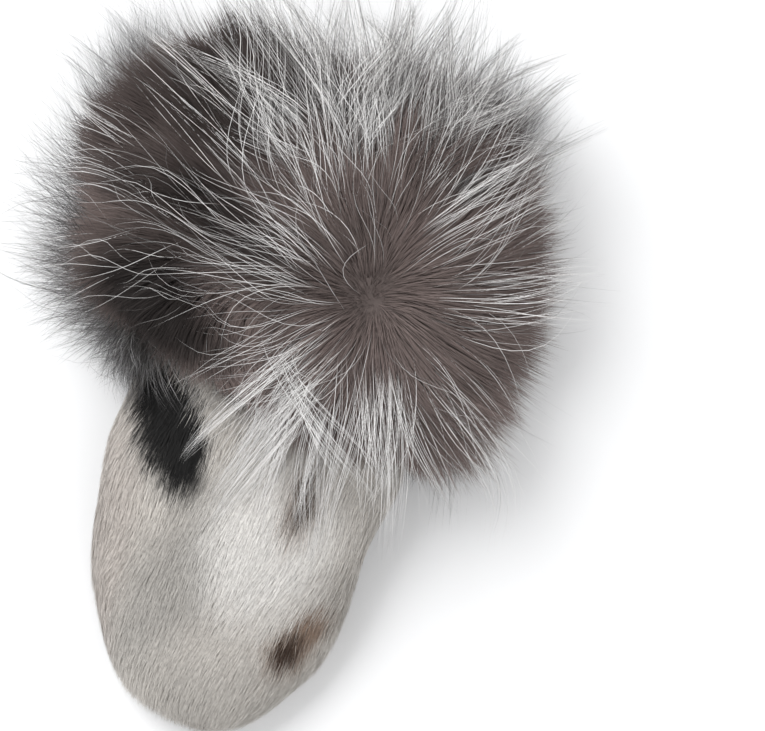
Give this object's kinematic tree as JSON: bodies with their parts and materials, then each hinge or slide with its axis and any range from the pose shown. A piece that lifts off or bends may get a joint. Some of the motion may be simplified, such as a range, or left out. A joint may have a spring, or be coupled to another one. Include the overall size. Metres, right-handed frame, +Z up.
{
  "type": "fur mitten",
  "caption": "Right-hand fur mitten lying palm down: short pale fur back, black leather palm and folded thumb, deep silver fox cuff.",
  "frame": {"origin": "on the floor, at the middle of the flat patch of the palm that the mitten rests on behind the fingertips", "axes": "+X towards the thumb's side, +Y from the fingertips to the open cuff, +Z up through the back of the hand"},
  "size_m": [0.2588, 0.3305, 0.1103],
  "materials": {
    "short_fur": "short flat hair, pale grey cream with brown and black markings",
    "black_leather": "fine-grained, softly glossy",
    "fox_fur": "long dense hair, brown-grey with white guard hairs and dark tips"
  },
  "bodies": {
    "root": {"fur_back": "short_fur", "leather_palm": "black_leather", "leather_thumb": "black_leather", "fox_cuff": "fox_fur"}
  },
  "joints": []
}
